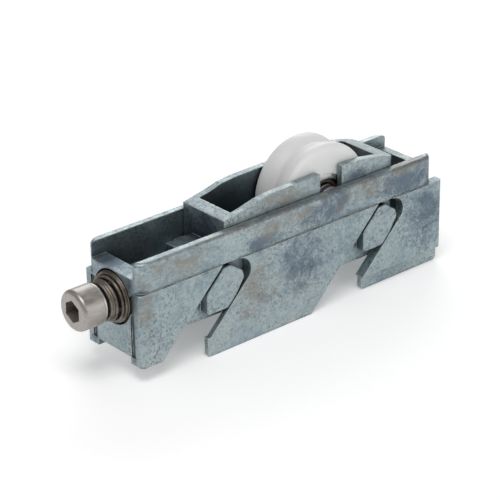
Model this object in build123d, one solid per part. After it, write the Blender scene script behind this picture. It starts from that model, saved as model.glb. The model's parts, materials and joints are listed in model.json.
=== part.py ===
"""Sliding door roller: a zinc housing, a carriage that climbs two ramps, and a grooved wheel.

Frame, in millimetres: X runs along the housing from the screw end, Y across it, Z up.
The origin is on the base plane, at the screw end face, on the middle plane.
The wheel points up here. In a door the whole unit hangs the other way up.
"""
from build123d import *
from math import cos, pi, sin
import os

# ---- housing -------------------------------------------------------------------------
LENGTH = 98.0            # outer plates, screw end to far end
BAND_LENGTH = 95.6       # upper band, shorter than the plates at the far end
PLATE_HALF = 10.5        # half width over the lower plates
BAND_HALF = 10.1         # half width over the upper band
CAVITY_HALF = 7.8        # half width of the channel
TOP_Z = 30.3             # top of the side walls
STEP_Z = 22.8            # line where plates meet band, also the top of the ramp slots
FOOT_Z = 4.0             # underside of the front foot and of the far outer plate
SEAT_GAP = 0.02          # between a fixed piece and its seat
SMALL_CHAMFER = 0.3
BAND_CORNER = 3.6        # plan radius of the band's corners
BAND_ROUND = 1.0         # radius of its top outer edge
PLATE_CORNER = 1.0       # plan radius of the plates' corners
TOOTH_START = 19.8       # middle tooth, upright edge
TOOTH_SHOULDER_Z = 5.1   # where that edge meets the ramp
SLOT_LEFT = 2.0          # first slot: left edge is x = z + SLOT_LEFT, at 45 degrees
SLOT_RIGHT = 15.6        # first slot: right edge, the ramp that carries the load
SLOT_PITCH = 50.7        # from the first slot to the second
SLOT_CORNER = 3.5        # radius where a slot's top meets its ramp
SKIN_HALF = 9.2          # half width over the recessed far foot
SKIN_START = 71.0
SKIN_END = 97.6
SKIN_TOP = 9.0
TOOTH_INNER_HALF = 9.05  # the middle tooth is thinned from inside, below this height
TOOTH_THIN_Z = 9.8
END_WALL = 4.6           # thickness of the wall at the screw end
END_WALL_TOP = 26.3
END_WALL_BOTTOM = 5.8
FOOT_INNER_HALF = 6.2    # half width between the front feet
FAR_WALL_START = 92.6
FAR_WALL_TOP = 27.3
FAR_WALL_BOTTOM = 8.0
GROOVE_IN = 6.5          # upright grooves in the screw end face
GROOVE_OUT = 8.1
GROOVE_DEPTH = 0.5

# ---- screw, insert and spring -----------------------------------------------------------
SCREW_Z = 19.2           # height of the screw's axis
SCREW_R = 3.0            # M6
SCREW_LENGTH = 25.0
HEAD_R = 5.1
HEAD_ROUND = 1.1
HEAD_HEIGHT = 6.0
HEAD_FACE = -11.5
HEX_FLATS = 5.0
HEX_DEPTH = 3.4
INSERT_R = 4.0           # threaded steel insert
INSERT_START = 3.9
BOSS_END = 9.9           # casting round the insert
BOSS_R = 5.6
RECESS_R = 6.9           # seat of the spring in the end wall
RECESS_DEPTH = 1.6
SCREW_CLEARANCE = 0.3
THREAD_CLEARANCE = 0.05
WASHER_CLEARANCE = 0.1
WASHER_R = 4.9
WASHER_THICKNESS = 0.5
WIRE = 1.0
SPRING_TURNS = 6.0
SPRING_BIG_R = 6.0       # to the wire's centre
SPRING_SMALL_R = 4.2

# ---- carriage ------------------------------------------------------------------------
CARRIAGE_HALF = 7.6
WELL_HALF = 5.8
WELL_START = 31.2
WELL_END = 78.6
CARRIAGE_END = 83.6
WEB_START = 27.8
WELL_FLOOR = 10.6
NOSE_START = 19.6        # upright face that the screw pushes on
NOSE_TOP = 25.0
NOSE_HALF = 4.4
NOSE_WALL_TOP = 23.4     # top of the slanted nose behind that face
THRUST_HALF = 3.4        # hardened thrust plate let into the face
THRUST_LOW = 14.4
THRUST_HIGH = 24.4
PLATE_THICKNESS = 1.0
LUG_BOTTOM = 10.9
LUG_RIGHT = 15.5         # loaded edge of a lug is x = z + LUG_RIGHT
LUG_HALF = 10.3          # half width over the lugs
LUG_ROUND = 0.4

# ---- wheel and bearings --------------------------------------------------------------
AXLE_X = 62.0
AXLE_Z = 26.9
WHEEL_R = 14.0           # over the flanges
GROOVE_R = 12.7          # at the bottom of the groove
WHEEL_HALF = 5.6
CREST_Y = 4.2            # where each flange is highest
CREST_ROUND = 1.4
BORE_R = 2.5             # 695 size bearing: 5 x 13 x 4
INNER_RING_R = 3.7
OUTER_RING_BORE = 5.2
BEARING_R = 6.5
BEARING_WIDTH = 4.0
RACE_R = 0.98
BALL_R = 0.95
BALLS = 8
CAGE_R_IN = 4.0
CAGE_R_OUT = 4.9
CAGE_HALF = 1.25
AXLE_HEAD_R = 3.55
NOTCH_R = 3.65

MID_BEARING = WHEEL_HALF - BEARING_WIDTH / 2
HEAD_BACK = HEAD_FACE + HEAD_HEIGHT
RACE_CENTRE = (INNER_RING_R + OUTER_RING_BORE) / 2


def box(x, y, z):
    """A box from three (low, high) pairs."""
    size = [high - low for low, high in (x, y, z)]
    middle = [(low + high) / 2 for low, high in (x, y, z)]
    return Pos(*middle) * Box(*size)


def side_plate(points, y):
    """A prism of an outline in X and Z, standing between two Y values."""
    outline = make_face(Polyline(*[(px, y[0], pz) for px, pz in points], close=True))
    return extrude(outline, amount=y[1] - y[0], dir=(0, 1, 0))


def rod_x(radius, x, z=SCREW_Z, y=0.0):
    """A cylinder along X."""
    turn = Rot(0, 90, 0)
    return Pos((x[0] + x[1]) / 2, y, z) * turn * Cylinder(radius, x[1] - x[0])


def rod_y(radius, y, x=AXLE_X, z=AXLE_Z):
    """A cylinder along Y."""
    return Pos(x, (y[0] + y[1]) / 2, z) * Rot(90, 0, 0) * Cylinder(radius, y[1] - y[0])


def upright_edges(solid, x_low, x_high):
    """The vertical edges of a solid between two X values."""
    edges = solid.edges().filter_by(Axis.Z)
    return edges.filter_by(lambda edge: x_low <= edge.center().X <= x_high)


def across_edges(solid, x, z, reach=0.05):
    """Edges that run along Y through a point given in X and Z."""
    edges = solid.edges().filter_by(Axis.Y)
    return edges.filter_by(lambda e: abs(e.center().X - x) < reach and abs(e.center().Z - z) < reach)


def ramp_slot(shift, y):
    """One slanted slot, open at the bottom, with a rounded top corner above its ramp."""
    low = -2.0
    points = [
        (low + SLOT_LEFT + shift, low),
        (STEP_Z + SLOT_LEFT + shift, STEP_Z),
        (STEP_Z + SLOT_RIGHT + shift, STEP_Z),
        (low + SLOT_RIGHT + shift, low),
    ]
    slot = side_plate(points, y)
    return fillet(across_edges(slot, STEP_Z + SLOT_RIGHT + shift, STEP_Z), SLOT_CORNER)


def plates():
    """Both lower plates as one block, with feet, tooth and ramp slots cut across it."""
    block = box((0, LENGTH), (-PLATE_HALF, PLATE_HALF), (0, STEP_Z))
    block = fillet(upright_edges(block, -1, LENGTH + 1), PLATE_CORNER)
    full = (-PLATE_HALF - 1, PLATE_HALF + 1)
    block -= box((-1, TOOTH_START), full, (-1, FOOT_Z))
    block -= box((SLOT_PITCH + SLOT_RIGHT, LENGTH + 1), full, (-1, FOOT_Z))
    ramp = ramp_slot(0, full)
    tooth = box((TOOTH_START, SLOT_RIGHT + TOOTH_SHOULDER_Z), full, (-1, TOOTH_SHOULDER_Z))
    block -= ramp - tooth
    block -= ramp_slot(SLOT_PITCH, full)
    return fillet(across_edges(block, TOOTH_START, 0), 1.0)


def far_foot_skin():
    """The recessed foot at the far end. It is set back from the plate and reaches the base."""
    edge = SLOT_PITCH + SLOT_RIGHT
    points = [
        (SKIN_START, 0),
        (SKIN_END, 0),
        (SKIN_END, SKIN_TOP),
        (SKIN_TOP + edge, SKIN_TOP),
        (SKIN_START, SKIN_START - edge),
    ]
    skin = side_plate(points, (-SKIN_HALF, SKIN_HALF))
    return fillet(across_edges(skin, SKIN_START, 0) + across_edges(skin, SKIN_END, 0), 1.2)


def band():
    """The upper band, a ring with rounded corners."""
    ring = box((0, BAND_LENGTH), (-BAND_HALF, BAND_HALF), (STEP_Z, TOP_Z))
    ring = fillet(upright_edges(ring, -1, LENGTH), BAND_CORNER)
    return fillet(ring.faces().sort_by(Axis.Z)[-1].edges(), BAND_ROUND)


def housing():
    """The die-cast housing: band, plates, end walls and feet in one casting."""
    body = plates() + band() + far_foot_skin()
    body -= box((END_WALL, FAR_WALL_START), (-CAVITY_HALF, CAVITY_HALF), (-1, TOP_Z + 1))
    body -= box((-1, END_WALL + 1), (-CAVITY_HALF, CAVITY_HALF), (END_WALL_TOP, TOP_Z + 1))
    body -= box((-1, END_WALL + 1), (-FOOT_INNER_HALF, FOOT_INNER_HALF), (-1, END_WALL_BOTTOM))
    body -= box((FAR_WALL_START - 1, LENGTH + 1), (-CAVITY_HALF, CAVITY_HALF), (FAR_WALL_TOP, TOP_Z + 1))
    body -= box((FAR_WALL_START - 1, LENGTH + 1), (-CAVITY_HALF, CAVITY_HALF), (-1, FAR_WALL_BOTTOM))
    for side in (-1, 1):
        inner = sorted((side * CAVITY_HALF - side, side * TOOTH_INNER_HALF))
        body -= box((SLOT_RIGHT, SLOT_PITCH + SLOT_RIGHT - 1), inner, (-1, TOOTH_THIN_Z))
    body -= box((BAND_LENGTH, LENGTH + 1), (-CAVITY_HALF, CAVITY_HALF), (-1, TOP_Z + 1))
    body = fillet(across_edges(body, BAND_LENGTH, FAR_WALL_TOP), BAND_ROUND)
    body += rod_x(BOSS_R, (END_WALL - 1, BOSS_END))
    for side in (-1, 1):
        middle = side * (GROOVE_IN + GROOVE_OUT) / 2
        half = (GROOVE_OUT - GROOVE_IN) / 2
        body -= box((-1, GROOVE_DEPTH), (middle - half, middle + half), (END_WALL_BOTTOM, STEP_Z - 0.6))
    body -= rod_x(INSERT_R + SEAT_GAP, (INSERT_START, BOSS_END + 1))
    body -= rod_x(RECESS_R, (-1, RECESS_DEPTH))
    body -= rod_x(SCREW_R + SCREW_CLEARANCE, (-1, BOSS_END + 1))
    return body


def threaded_insert():
    """Round insert that carries the screw's thread."""
    insert = rod_x(INSERT_R, (INSERT_START, BOSS_END))
    insert = chamfer(insert.edges().sort_by(Axis.X)[-1], SMALL_CHAMFER)
    return insert - rod_x(SCREW_R + THREAD_CLEARANCE, (0, BOSS_END + 1))


def conical_spring():
    """Wide end in the wall's recess, narrow end against the washer under the head."""
    start = RECESS_DEPTH - WIRE / 2 - SEAT_GAP
    end = HEAD_BACK + WASHER_THICKNESS + WIRE / 2 + SEAT_GAP
    steps = 12 * int(SPRING_TURNS)
    points = []
    for step in range(steps + 1):
        share = step / steps
        radius = SPRING_BIG_R + (SPRING_SMALL_R - SPRING_BIG_R) * share
        angle = 2 * pi * SPRING_TURNS * share
        x = start + (end - start) * share
        points.append((x, radius * sin(angle), SCREW_Z + radius * cos(angle)))
    route = Spline(*points)
    section = Plane(origin=route @ 0, z_dir=route % 0) * Circle(WIRE / 2 - SEAT_GAP)
    return sweep(section, path=route)


def adjusting_screw():
    """Socket head cap screw, M6 x 25."""
    head = rod_x(HEAD_R, (HEAD_FACE, HEAD_BACK))
    head = fillet(head.edges().sort_by(Axis.X)[0], HEAD_ROUND)
    head = chamfer(head.edges().sort_by(Axis.X)[-1], 0.2)
    shank = rod_x(SCREW_R, (HEAD_BACK - 0.5, HEAD_BACK + SCREW_LENGTH))
    shank = chamfer(shank.edges().sort_by(Axis.X)[-1], 0.6)
    across = Plane(origin=(HEAD_FACE, 0, SCREW_Z), x_dir=(0, 0, 1), z_dir=(1, 0, 0))
    socket = extrude(across * RegularPolygon(HEX_FLATS / 2, 6, major_radius=False), HEX_DEPTH)
    tip = Pos(HEAD_FACE + HEX_DEPTH, 0, SCREW_Z) * Rot(0, 90, 0) * Cone(HEX_FLATS / 2, 0.2, 1.2)
    tip = Pos(0.6, 0, 0) * tip
    return head + shank - socket - tip


def thrust_washer():
    """Plain washer between the head and the spring."""
    ring = rod_x(WASHER_R, (HEAD_BACK, HEAD_BACK + WASHER_THICKNESS))
    return ring - rod_x(SCREW_R + WASHER_CLEARANCE, (HEAD_FACE, 0))


def lug(shift, side):
    """A block on the carriage's side that rides on the ramp of one slot."""
    points = [
        (20.0, LUG_BOTTOM),
        (20.0, 16.4),
        (25.2, 21.6),
        (27.6, 21.9),
        (31.1, 19.4),
        (31.6, 17.5),
        (13.5 + LUG_RIGHT, 13.5),
        (LUG_BOTTOM + LUG_RIGHT, LUG_BOTTOM),
    ]
    inner = CARRIAGE_HALF - 1.0
    span = (inner, LUG_HALF) if side > 0 else (-LUG_HALF, -inner)
    block = side_plate([(x + shift, z) for x, z in points], span)
    block = fillet(block.edges().filter_by(Axis.Y), 0.9)
    outer_face = block.faces().sort_by(Axis.Y)[-1 if side > 0 else 0]
    return fillet(outer_face.edges(), LUG_ROUND)


def carriage_outline():
    """Side view of the carriage: low nose in front, arched walls beside the wheel."""
    nose = [(12.6, 9.0), (12.6, 11.4), (NOSE_WALL_TOP + 1.2, NOSE_WALL_TOP), (WEB_START, NOSE_WALL_TOP)]
    crown = [(WEB_START, 32.1), (34.0, 33.3), (38.5, 34.4), (42.5, 34.8), (68.0, 35.2)]
    tail = [(73.0, 34.9), (78.0, 34.1), (CARRIAGE_END, 32.6), (CARRIAGE_END, 8.0), (62.0, 8.0)]
    return nose + crown + tail


def carriage():
    """The inner casting that holds the axle and rides up and down on the ramps."""
    body = side_plate(carriage_outline(), (-CARRIAGE_HALF, CARRIAGE_HALF))
    body = fillet(upright_edges(body, CARRIAGE_END - 1, CARRIAGE_END + 1), 2.0)
    body -= box((WELL_START, WELL_END), (-WELL_HALF, WELL_HALF), (WELL_FLOOR, TOP_Z + 10))
    body -= box((0, NOSE_START), (-WELL_HALF, WELL_HALF), (WELL_FLOOR, TOP_Z + 10))
    body += box((NOSE_START, WEB_START + 1), (-NOSE_HALF, NOSE_HALF), (WELL_FLOOR, NOSE_TOP))
    body -= thrust_block(SEAT_GAP)
    for shift in (0, SLOT_PITCH):
        for side in (-1, 1):
            body += lug(shift, side)
    body -= rod_y(NOTCH_R, (-20, 20))
    body -= box((AXLE_X - NOTCH_R, AXLE_X + NOTCH_R), (-20, 20), (AXLE_Z, TOP_Z + 10))
    return body


def thrust_block(gap):
    """The thrust plate's shape, enlarged by a gap all round."""
    half = THRUST_HALF + gap
    across = (-half, half)
    return box((NOSE_START, NOSE_START + PLATE_THICKNESS), across, (THRUST_LOW - gap, THRUST_HIGH + gap))


def thrust_plate():
    """Hardened plate that the screw's tip pushes on, tall enough for the carriage's travel."""
    return thrust_block(0)


def axle_pin():
    """Shouldered pin. Its head lies in one notch of the carriage, its end takes the collar."""
    pin = rod_y(BORE_R - 0.005, (-WHEEL_HALF - 0.1, CARRIAGE_HALF - 0.3))
    head = rod_y(AXLE_HEAD_R, (-CARRIAGE_HALF + 0.2, -WHEEL_HALF))
    return pin + chamfer(head.edges().sort_by(Axis.Y)[0], SMALL_CHAMFER)


def axle_collar():
    """Ring pressed on the far end of the pin, in the other notch."""
    ring = rod_y(AXLE_HEAD_R, (WHEEL_HALF, CARRIAGE_HALF - 0.2))
    ring = chamfer(ring.edges().sort_by(Axis.Y)[-1], SMALL_CHAMFER)
    return ring - rod_y(BORE_R, (0, 20))


def race_groove(y):
    """The ring-shaped groove that the balls of one bearing run in."""
    return Pos(AXLE_X, y, AXLE_Z) * Rot(90, 0, 0) * Torus(RACE_CENTRE, RACE_R)


def ring_at(y, inner, outer, half):
    """A flat ring round the axle, centred on a Y value."""
    span = (y - half, y + half)
    return rod_y(outer, span) - rod_y(inner, (y - half - 1, y + half + 1))


def inner_ring(y):
    return ring_at(y, BORE_R, INNER_RING_R, BEARING_WIDTH / 2) - race_groove(y)


def outer_ring(y):
    return ring_at(y, OUTER_RING_BORE, BEARING_R, BEARING_WIDTH / 2) - race_groove(y)


def ball_places(y):
    """Centres of the balls of one bearing."""
    for number in range(BALLS):
        angle = 2 * pi * (number + 0.5) / BALLS
        yield AXLE_X + RACE_CENTRE * cos(angle), y, AXLE_Z + RACE_CENTRE * sin(angle)


def ball_set(y):
    return Compound(children=[Pos(*place) * Sphere(BALL_R) for place in ball_places(y)])


def ball_cage(y):
    """Moulded cage with a pocket round each ball."""
    cage = ring_at(y, CAGE_R_IN, CAGE_R_OUT, CAGE_HALF)
    pocket = Rot(0, 90, 0) * Cylinder(BALL_R + 0.05, 4 * BALL_R)
    for number in range(BALLS):
        turn = Rot(0, -360 * (number + 0.5) / BALLS, 0)
        cage -= Pos(AXLE_X, y, AXLE_Z) * turn * Pos(RACE_CENTRE, 0, 0) * pocket
    return cage


def inner_spacer():
    """Tube on the axle that keeps the two inner rings apart."""
    return ring_at(0, BORE_R, INNER_RING_R, WHEEL_HALF - BEARING_WIDTH)


def wheel():
    """Nylon wheel: a shallow saddle between two round flanges, bored for the bearings."""
    hub_half = WHEEL_HALF - BEARING_WIDTH
    face_r = WHEEL_R - 2 * CREST_ROUND
    with BuildPart() as part:
        with BuildSketch(Plane.YZ):
            with BuildLine():
                Polyline(
                    (-WHEEL_HALF, BEARING_R),
                    (-hub_half, BEARING_R),
                    (-hub_half, OUTER_RING_BORE + 0.3),
                    (hub_half, OUTER_RING_BORE + 0.3),
                    (hub_half, BEARING_R),
                    (WHEEL_HALF, BEARING_R),
                    (WHEEL_HALF, face_r),
                )
                Spline((WHEEL_HALF, face_r), (CREST_Y, WHEEL_R), tangents=[(0, 1), (-1, 0)])
                Spline(
                    (CREST_Y, WHEEL_R),
                    (0, GROOVE_R),
                    (-CREST_Y, WHEEL_R),
                    tangents=[(-1, 0), (-1, 0)],
                )
                Spline((-CREST_Y, WHEEL_R), (-WHEEL_HALF, face_r), tangents=[(-1, 0), (0, -1)])
                Line((-WHEEL_HALF, face_r), (-WHEEL_HALF, BEARING_R))
            make_face()
        revolve(axis=Axis.Y)
    return Pos(AXLE_X, 0, AXLE_Z) * part.part


def main():
    os.makedirs("parts", exist_ok=True)
    near, far = -MID_BEARING, MID_BEARING
    pieces = {
        "housing": housing(),
        "threaded_insert": threaded_insert(),
        "conical_spring": conical_spring(),
        "adjusting_screw": adjusting_screw(),
        "thrust_washer": thrust_washer(),
        "carriage": carriage(),
        "thrust_plate": thrust_plate(),
        "axle_pin": axle_pin(),
        "axle_collar": axle_collar(),
        "inner_spacer": inner_spacer(),
        "inner_ring_near": inner_ring(near),
        "inner_ring_far": inner_ring(far),
        "ball_set_near": ball_set(near),
        "ball_set_far": ball_set(far),
        "ball_cage_near": ball_cage(near),
        "ball_cage_far": ball_cage(far),
        "outer_ring_near": outer_ring(near),
        "outer_ring_far": outer_ring(far),
        "wheel": wheel(),
    }
    for name, shape in pieces.items():
        export_step(shape, f"parts/{name}.step")
    return pieces


main()
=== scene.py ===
"""Looks of the sliding door roller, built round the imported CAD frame. All lengths are in metres."""
import json
from math import cos, radians, sin, tanh, tau

import bmesh
import bpy
from mathutils import Matrix, Vector


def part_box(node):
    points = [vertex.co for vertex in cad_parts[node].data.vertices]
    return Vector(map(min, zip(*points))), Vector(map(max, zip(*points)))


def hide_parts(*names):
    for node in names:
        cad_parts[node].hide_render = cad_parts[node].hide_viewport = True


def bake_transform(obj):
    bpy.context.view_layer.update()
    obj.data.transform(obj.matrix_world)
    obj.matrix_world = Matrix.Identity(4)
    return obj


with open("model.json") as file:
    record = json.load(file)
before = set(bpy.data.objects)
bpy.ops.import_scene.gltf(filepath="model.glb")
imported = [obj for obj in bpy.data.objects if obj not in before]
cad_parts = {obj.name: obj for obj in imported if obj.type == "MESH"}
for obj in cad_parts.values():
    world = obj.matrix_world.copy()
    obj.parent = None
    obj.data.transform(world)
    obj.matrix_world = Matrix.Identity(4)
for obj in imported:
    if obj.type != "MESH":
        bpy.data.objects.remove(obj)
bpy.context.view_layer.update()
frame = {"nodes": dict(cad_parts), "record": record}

MM = 0.001
AO_SAMPLES = 8
BEVEL_SAMPLES = 6
NODES = frame["nodes"]


# ---- places read from the frame -------------------------------------------------------
def span(node, axis):
    """Lowest and highest value of a CAD node along one axis, 0, 1 or 2."""
    low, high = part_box(node)
    return low[axis], high[axis]


def middle(node, axis):
    return sum(span(node, axis)) / 2


# ---- node tree helpers ----------------------------------------------------------------
class Tree:
    """A short way to build a material: add(kind, inputs) makes a node and joins or sets its inputs."""

    def __init__(self, name):
        self.material = bpy.data.materials.new(name)
        self.material.use_nodes = True
        self.nodes = self.material.node_tree.nodes
        self.links = self.material.node_tree.links
        self.shader = self.nodes["Principled BSDF"]
        self.place = self.add("ShaderNodeTexCoord").outputs["Object"]

    def add(self, kind, inputs=None, **settings):
        node = self.nodes.new(kind)
        for key, value in settings.items():
            setattr(node, key, value)
        for key, value in (inputs or {}).items():
            self.join(value, node.inputs[key])
        return node

    def join(self, value, socket):
        if isinstance(value, bpy.types.NodeSocket):
            self.links.new(value, socket)
        else:
            socket.default_value = value

    def set(self, **inputs):
        for key, value in inputs.items():
            self.join(value, self.shader.inputs[key.replace("_", " ")])

    def noise(self, scale, detail=3.0, roughness=0.5, distortion=0.0, stretch=(1, 1, 1), shift=(0, 0, 0)):
        """Fractal noise over the part, 0 to 1. The scale is in cells for each metre."""
        settings = {"Vector": self.place, "Scale": stretch, "Location": shift}
        mapped = self.add("ShaderNodeMapping", settings)
        made = self.add("ShaderNodeTexNoise", {
            "Vector": mapped.outputs[0], "Scale": scale, "Detail": detail,
            "Roughness": roughness, "Distortion": distortion,
        })
        return made.outputs[0]

    def ramp(self, value, stops):
        """A colour for a value, eased between stops of position and colour."""
        made = self.add("ShaderNodeValToRGB", {"Fac": value})
        ramp = made.color_ramp
        ramp.interpolation = "EASE"
        while len(ramp.elements) < len(stops):
            ramp.elements.new(1.0)
        for element, (at, colour) in zip(ramp.elements, stops):
            element.position = at
            element.color = colour + (1,)
        return made.outputs[0]

    def mix(self, fac, first, second):
        """The first colour where the factor is 0, the second where it is 1."""
        made = self.add("ShaderNodeMix", data_type="RGBA")
        self.join(fac, made.inputs[0])
        for socket, value in ((made.inputs[6], first), (made.inputs[7], second)):
            self.join(value + (1,) if isinstance(value, tuple) else value, socket)
        return made.outputs[2]

    def math(self, kind, first, second=0.5, third=0.5, clamp=False):
        made = self.add("ShaderNodeMath", {0: first, 1: second, 2: third}, operation=kind)
        made.use_clamp = clamp
        return made.outputs[0]

    def vector(self, kind, first, second=(0, 0, 0)):
        """The node of a vector sum, product or length."""
        return self.add("ShaderNodeVectorMath", {0: first, 1: second}, operation=kind)

    def openness(self, distance, only_local=False):
        """1 where nothing is near the surface, towards 0 in hollows."""
        inputs = {"Distance": distance}
        made = self.add("ShaderNodeAmbientOcclusion", inputs, samples=AO_SAMPLES, only_local=only_local)
        return made.outputs["AO"]

    def level(self, value, low, high, to_low=0.0, to_high=1.0):
        """Maps a value's range low..high to to_low..to_high."""
        made = self.add("ShaderNodeMapRange", {
            "Value": value, "From Min": low, "From Max": high, "To Min": to_low, "To Max": to_high,
        })
        return made.outputs[0]

    def bump(self, height, strength, distance, normal=None):
        inputs = {"Height": height, "Strength": strength, "Distance": distance}
        if normal is not None:
            inputs["Normal"] = normal
        return self.add("ShaderNodeBump", inputs).outputs[0]


def soft_edge(tree, radius):
    """Normals rounded at sharp edges, as handling and plating round them."""
    return tree.add("ShaderNodeBevel", {"Radius": radius}, samples=BEVEL_SAMPLES).outputs[0]


# ---- materials ------------------------------------------------------------------------
def edge_sheen_and_crevice_shade(tree, radius, reach):
    """Masks of the convex edges, lightened for wear and as a painted highlight, and of the crevices,
    darkened as painted shade, each 0 to 1.
    """
    rounded = soft_edge(tree, radius)
    true = tree.add("ShaderNodeNewGeometry").outputs["True Normal"]
    turned = tree.vector("DOT_PRODUCT", rounded, true).outputs["Value"]
    edge_wear_and_sheen = tree.level(turned, 0.97, 0.8)
    openness = tree.openness(reach)
    open_share = tree.level(openness, 0.15, 0.5)
    return tree.math("MULTIPLY", edge_wear_and_sheen, open_share, clamp=True), tree.level(openness, 0.64, 0.2)


def spot(tree, centre, size):
    """A soft round mask at a place on the part. Centre and half sizes are in mm."""
    away = tree.vector("SUBTRACT", tree.place, [value * MM for value in centre])
    scaled = tree.vector("MULTIPLY", away.outputs[0], [1 / (value * MM) for value in size])
    distance = tree.vector("LENGTH", scaled.outputs[0]).outputs["Value"]
    return tree.level(distance, 1.0, 0.25)


def any_spot(tree, spots):
    """The strongest of several spots."""
    masks = [spot(tree, centre, size) for centre, size in spots]
    total = masks[0]
    for mask in masks[1:]:
        total = tree.math("MAXIMUM", total, mask)
    return total


ZINC_TONES = [(0.32, (0.20, 0.275, 0.31)), (0.5, (0.295, 0.37, 0.395)), (0.68, (0.37, 0.42, 0.425))]
ZINC_LIGHT = (0.45, 0.515, 0.525)
ZINC_SPECKLE = (0.15, 0.185, 0.205)
ZINC_STREAK = (0.12, 0.155, 0.19)
# edge colour: partly wear of the plating, partly a painted highlight on rounded edges
ZINC_WORN_SHEEN = (0.62, 0.64, 0.62)
CLOUD_AND_SHADE_BLUE = (0.085, 0.12, 0.165)
STAIN_BROWN = (0.24, 0.22, 0.185)
PIT_DARK = (0.045, 0.05, 0.055)
# painted shade: dark colour for the deep inside of the channel
CHANNEL_SHADE = (0.03, 0.05, 0.06)
# painted shade: dark colour laid into crevices where the surface is hemmed in
CREVICE_SHADE = (0.015, 0.02, 0.022)
CAST_EDGE = 0.35 * MM
CREVICE_REACH = 1.6 * MM
CHANNEL_REACH = 22 * MM                           # more than the width of the channel


def zinc(name, cloud_and_shade_spots, warm_spots):
    """Blue-grey zinc plating on a die casting: mottled, with dark clouds that are partly painted shade,
    warm stains, edges lightened by wear and painted highlight, and painted shade in crevices and down the
    channel.
    """
    tree = Tree(name)
    broad = tree.noise(60, 6, 0.65)
    grain = tree.noise(650, 6, 0.78, 0.3)
    base = tree.ramp(broad, ZINC_TONES)
    colour = tree.mix(tree.level(grain, 0.40, 0.64, 0.0, 0.65), base, ZINC_LIGHT)
    speckle = tree.noise(1500, 3, 0.7)
    patchy = tree.level(tree.noise(120, 3, 0.6, 0.0, (1, 1, 1), (4, 1, 7)), 0.38, 0.62, 0.25, 0.9)
    speckle = tree.math("MULTIPLY", tree.level(speckle, 0.50, 0.62), patchy)
    colour = tree.mix(speckle, colour, ZINC_SPECKLE)
    ragged = tree.noise(140, 9, 0.88, 0.4)
    # dark-blue clouds: partly plating mottling, partly painted shade where the spots sit on shaded faces
    cloud_and_shade = tree.math("MULTIPLY_ADD", any_spot(tree, cloud_and_shade_spots), 0.20, ragged)
    cloud_and_shade = tree.level(cloud_and_shade, 0.56, 0.70)
    colour = tree.mix(tree.math("MULTIPLY", cloud_and_shade, 0.80), colour, CLOUD_AND_SHADE_BLUE)
    rusty = tree.noise(260, 9, 0.88, 0.2, (0.6, 1, 1), (3, 1, 2))
    stain = tree.math("MULTIPLY_ADD", any_spot(tree, warm_spots), 0.17, rusty)
    stain = tree.level(stain, 0.57, 0.71)
    colour = tree.mix(tree.math("MULTIPLY", stain, 0.75), colour, STAIN_BROWN)
    streak = tree.noise(240, 6, 0.75, 0.0, (0.3, 1, 1), (5, 5, 1))
    colour = tree.mix(tree.level(streak, 0.57, 0.74, 0.0, 0.75), colour, ZINC_STREAK)
    pits = tree.level(tree.noise(900, 3, 0.6), 0.64, 0.74)
    colour = tree.mix(tree.math("MULTIPLY", pits, 0.75), colour, PIT_DARK)
    edge_wear_and_sheen, crevice_shade = edge_sheen_and_crevice_shade(tree, CAST_EDGE, CREVICE_REACH)
    edge_patches = tree.level(tree.noise(300, 4, 0.6, 0, (1, 1, 1), (2, 8, 4)), 0.30, 0.52)
    # painted shade: surfaces deep in the channel darkened, as shade falls there
    channel_openness = tree.openness(CHANNEL_REACH, only_local=True)
    colour = tree.mix(tree.level(channel_openness, 0.82, 0.45, 0.0, 0.88), colour, CHANNEL_SHADE)
    # painted shade: crevices darkened from the ambient-occlusion mask
    colour = tree.mix(tree.math("MULTIPLY", crevice_shade, 0.9, clamp=True), colour, CREVICE_SHADE)
    # edges lightened in patches: partly wear, partly painted highlight
    colour = tree.mix(tree.math("MULTIPLY", edge_wear_and_sheen, edge_patches), colour, ZINC_WORN_SHEEN)
    rough = tree.level(tree.noise(160, 4, 0.6, 0.2, (1, 1, 1), (1, 5, 2)), 0.3, 0.7, 0.34, 0.56)
    tree.set(Base_Color=colour, Metallic=0.8, Roughness=rough)
    fine = tree.bump(grain, 0.40, 0.12 * MM, soft_edge(tree, CAST_EDGE))
    waves = tree.bump(tree.noise(130, 4, 0.6), 0.5, 0.25 * MM, fine)
    tree.set(Normal=tree.bump(pits, 0.6, -0.06 * MM, waves))
    return tree.material


COIL_GAP = 1.2 * MM
MACHINED_EDGE = 0.15 * MM
MOULDED_EDGE = 0.2 * MM
# painted shade: colour laid into narrow gaps, as between the coils
COIL_GAP_SHADE = (0.015, 0.013, 0.012)


def steel(name, dark, light, rough, brushed=(1, 1, 1), scale=400):
    """Machined or plated steel with fine drawing marks along one axis, and painted shade in narrow gaps
    such as between spring coils.
    """
    tree = Tree(name)
    marks = tree.noise(scale, 4, 0.65, 0.0, brushed)
    colour = tree.ramp(marks, [(0.3, dark), (0.7, light)])
    blotch = tree.noise(150, 3, 0.5, 0.3)
    colour = tree.mix(tree.level(blotch, 0.35, 0.75, 0.0, 0.35), colour, dark)
    gap = tree.openness(COIL_GAP)
    # painted shade: gaps darkened from the ambient-occlusion mask
    colour = tree.mix(tree.level(gap, 0.70, 0.25, 0.0, 0.9), colour, COIL_GAP_SHADE)
    tree.set(Base_Color=colour, Metallic=1.0)
    tree.set(Roughness=tree.level(marks, 0.3, 0.7, rough - 0.06, rough + 0.08))
    tree.set(Normal=tree.bump(marks, 0.12, 0.03 * MM, soft_edge(tree, MACHINED_EDGE)))
    return tree.material


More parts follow.
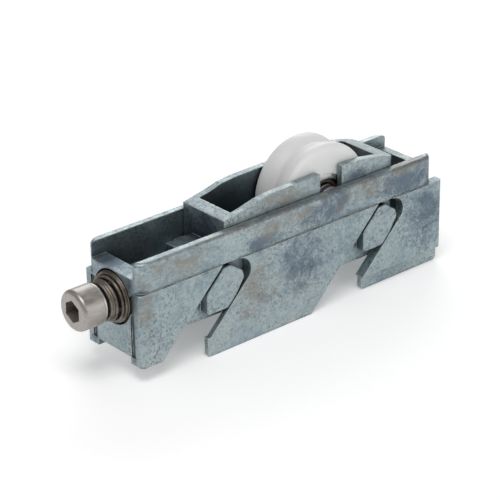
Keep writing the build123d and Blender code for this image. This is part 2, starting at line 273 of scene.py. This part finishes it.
def nylon(name, dark, light, rough, scatter):
    """Moulded plastic with a faint cloudiness and a very fine surface."""
    tree = Tree(name)
    colour = tree.ramp(tree.noise(60, 3, 0.5), [(0.3, dark), (0.7, light)])
    roughness = tree.level(tree.noise(300, 3), 0.3, 0.7, rough - 0.05, rough + 0.07)
    tree.set(Base_Color=colour, Roughness=roughness)
    if scatter:
        tree.set(Subsurface_Weight=0.35, Subsurface_Radius=(1.0, 0.95, 0.9), Subsurface_Scale=0.6 * MM)
    tree.set(Normal=tree.bump(tree.noise(650, 3, 0.5), 0.06, 0.05 * MM, soft_edge(tree, MOULDED_EDGE)))
    return tree.material


# Places of the dark clouds and of the warm stains, as centre and half sizes in mm. The dark places are
# partly plating clouds and partly painted shade, as on the carriage web's front face and beside the end
# face's inner corners.
HOUSING_CLOUDS_AND_SHADE = [
    ((51, -10.5, 15), (13, 9, 11)), ((84, -10, 26), (22, 9, 7)), ((60, -10, 27), (13, 9, 6)),
    ((91, -10.5, 15), (10, 9, 11)), ((30, 10.5, 16), (14, 9, 9)),
    ((75, 10.5, 18), (16, 9, 9)), ((98, 0, 15), (9, 12, 9)),
    ((0.3, -7.3, 14), (1.2, 2.0, 18)), ((0.3, 7.3, 14), (1.2, 2.0, 18)),
    ((2.3, 2, 26.3), (5, 9, 1.5)),
    ((71, -10.5, 13), (8, 6, 5)), ((38, -10, 25), (10, 6, 3)),
]
HOUSING_WARM = [
    ((12, -10, 27), (13, 9, 6)), ((45, -10, 28), (18, 9, 5)), ((86, -8, 30), (16, 8, 3)),
    ((35, -10.5, 13), (9, 9, 10)), ((2, -10, 20), (4, 6, 14)), ((60, 10, 27), (22, 9, 5)),
    ((70, -10, 28), (16, 9, 5)), ((94, 0, 27), (4, 9, 4)), ((40, -9.5, 30.3), (50, 3, 1)),
]
# the first two dark places are painted shade on the web's front face and in the nose
CARRIAGE_CLOUDS_AND_SHADE = [((27.4, 0, 26), (2.4, 14, 12)), ((21, 0, 24), (6, 8, 4)), ((70, -7.6, 32), (6, 2, 3))]
CARRIAGE_WARM = [((45, -7, 33), (14, 6, 4)), ((78, 0, 34), (6, 9, 3))]
MATERIALS = {
    "zinc_housing": zinc("zinc_housing", HOUSING_CLOUDS_AND_SHADE, HOUSING_WARM),
    "zinc_carriage": zinc("zinc_carriage", CARRIAGE_CLOUDS_AND_SHADE, CARRIAGE_WARM),
    "stainless_screw": steel("stainless_screw", (0.33, 0.305, 0.285), (0.50, 0.47, 0.44), 0.40, (1, 6, 6)),
    "plated_steel": steel("plated_steel", (0.45, 0.45, 0.44), (0.62, 0.62, 0.6), 0.34),
    "spring_steel": steel("spring_steel", (0.10, 0.085, 0.07), (0.30, 0.26, 0.22), 0.46),
    "hardened_steel": steel("hardened_steel", (0.28, 0.27, 0.27), (0.48, 0.46, 0.45), 0.32),
    "bearing_steel": steel("bearing_steel", (0.5, 0.5, 0.5), (0.68, 0.68, 0.68), 0.22, (1, 4, 1), 500),
    "cage_nylon": nylon("cage_nylon", (0.05, 0.04, 0.035), (0.1, 0.085, 0.07), 0.45, False),
    "wheel_nylon": nylon("wheel_nylon", (0.70, 0.70, 0.70), (0.76, 0.76, 0.755), 0.42, True),
}


def finish_cad_nodes():
    """Every CAD node gets the material of its slot."""
    slots = {part["node"]: part["material_slot"] for part in frame["record"]["subparts"]}
    for name, piece in NODES.items():
        for material_slot in piece.material_slots:
            material_slot.material = MATERIALS[slots[name]]


# ---- conical spring -------------------------------------------------------------------
WIRE_SIDES = 16


def tube_mesh(name, route, radius):
    """A round wire along a list of points, with closed ends."""
    mesh = bmesh.new()
    rings = []
    for index, point in enumerate(route):
        ahead = route[min(index + 1, len(route) - 1)] - route[max(index - 1, 0)]
        across = ahead.cross(Vector((1, 0, 0))).normalized()
        up = across.cross(ahead).normalized()
        turn = [tau * side / WIRE_SIDES for side in range(WIRE_SIDES)]
        rings.append([mesh.verts.new(point + radius * (cos(a) * across + sin(a) * up)) for a in turn])
    for first, second in zip(rings, rings[1:]):
        for side in range(WIRE_SIDES):
            after = (side + 1) % WIRE_SIDES
            mesh.faces.new((first[side], first[after], second[after], second[side]))
    mesh.faces.new(list(reversed(rings[0])))
    mesh.faces.new(rings[-1])
    data = bpy.data.meshes.new(name)
    bmesh.ops.recalc_face_normals(mesh, faces=mesh.faces)
    mesh.to_mesh(data)
    mesh.free()
    data.shade_smooth()
    piece = bpy.data.objects.new(name, data)
    bpy.context.collection.objects.link(piece)
    return piece


WIRE_RADIUS = 0.43 * MM
SPRING_TURNS = 6.5
STEPS_PER_TURN = 48
CONE_STEP = 1.5 * MM                              # difference between wide and narrow coils
CONE_STEEPNESS = 6
CONE_MIDDLE = 0.47                                # share of the turns at which the radius steps
COIL_BUNCHING = 0.045                             # how far coils gather at both ends


def make_spring():
    """Conical spring: wide coils in the wall's recess, then narrow coils against the washer."""
    x_head, x_wall = span("conical_spring", 0)
    height = middle("adjusting_screw", 2)
    wide = span("conical_spring", 2)[1] - height - WIRE_RADIUS
    narrow = wide - CONE_STEP
    start, end = x_wall - WIRE_RADIUS, x_head + WIRE_RADIUS
    last = int(SPRING_TURNS * STEPS_PER_TURN)
    route = []
    for step in range(last + 1):
        share = step / last
        narrowing = 0.5 + 0.5 * tanh(CONE_STEEPNESS * (share - CONE_MIDDLE))
        angle = tau * SPRING_TURNS * share
        bunching = COIL_BUNCHING * sin(tau * 2 * share)
        x = start + (end - start) * (share + bunching)
        radius = wide + (narrow - wide) * narrowing
        route.append(Vector((x, radius * sin(angle), height + radius * cos(angle))))
    piece = tube_mesh("conical_spring_coils", route, WIRE_RADIUS)
    piece.data.materials.append(MATERIALS["spring_steel"])
    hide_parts("conical_spring")
    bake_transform(piece)


# ---- stage, light and camera ----------------------------------------------------------
FLOOR_SIZE = 6
FLOOR_DROP = 0.02 * MM                            # keeps the floor off the base plane


def make_floor():
    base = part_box("housing")[0][2]
    bpy.ops.mesh.primitive_plane_add(size=FLOOR_SIZE, location=(0, 0, base - FLOOR_DROP))
    floor = bpy.context.object
    floor.name = "floor"
    tree = Tree("floor")
    tone = tree.ramp(tree.noise(8, 2), [(0.3, (0.90, 0.90, 0.90)), (0.7, (0.92, 0.92, 0.92))])
    tree.set(Base_Color=tone, Roughness=0.9, Emission_Color=(1, 1, 1, 1), Emission_Strength=0.25)
    floor.data.materials.append(tree.material)


def area_light(name, place, target, size, power):
    data = bpy.data.lights.new(name, "AREA")
    data.shape, data.size, data.energy = "DISK", size, power
    light = bpy.data.objects.new(name, data)
    light.location = place
    light.rotation_euler = (Vector(target) - Vector(place)).to_track_quat("-Z", "Y").to_euler()
    bpy.context.collection.objects.link(light)


def make_lights(target):
    area_light("key", (-0.20, -0.25, 0.80), target, 0.5, 3.0)
    area_light("front", (0.35, -0.80, 0.25), target, 0.5, 1.0)
    area_light("back", (0.60, 0.62, 0.45), target, 0.6, 2.4)
    world = bpy.data.worlds.new("studio")
    world.use_nodes = True
    world.node_tree.nodes["Background"].inputs[0].default_value = (1, 1, 1, 1)
    world.node_tree.nodes["Background"].inputs[1].default_value = 0.40
    bpy.context.scene.world = world
    bpy.context.scene.view_settings.view_transform = "Standard"


AZIMUTH, ELEVATION, ROLL = -40.55, 25.93, -0.82   # degrees
DISTANCE = 0.5
FOCAL = 2050 / 500                                # in widths of the frame
SENSOR_WIDTH = 36                                 # mm
AIM_X, AIM_Z = 0.43, 0.572                        # share of the housing's length and height


def make_camera(target):
    turn, lift = radians(AZIMUTH), radians(ELEVATION)
    back = Vector((sin(turn) * cos(lift), -cos(turn) * cos(lift), sin(lift)))
    data = bpy.data.cameras.new("camera")
    data.sensor_width = SENSOR_WIDTH
    data.lens = FOCAL * data.sensor_width
    data.clip_start = 0.01
    camera = bpy.data.objects.new("camera", data)
    level = (-back).to_track_quat("-Z", "Y").to_matrix().to_4x4()
    rolled = level @ Matrix.Rotation(radians(ROLL), 4, "Z")
    camera.matrix_world = Matrix.Translation(Vector(target) + back * DISTANCE) @ rolled
    bpy.context.collection.objects.link(camera)
    bpy.context.scene.camera = camera


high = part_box("housing")[1]
TARGET = (AIM_X * high[0], 0, AIM_Z * high[2])
finish_cad_nodes()
make_spring()
make_floor()
make_lights(TARGET)
make_camera(TARGET)
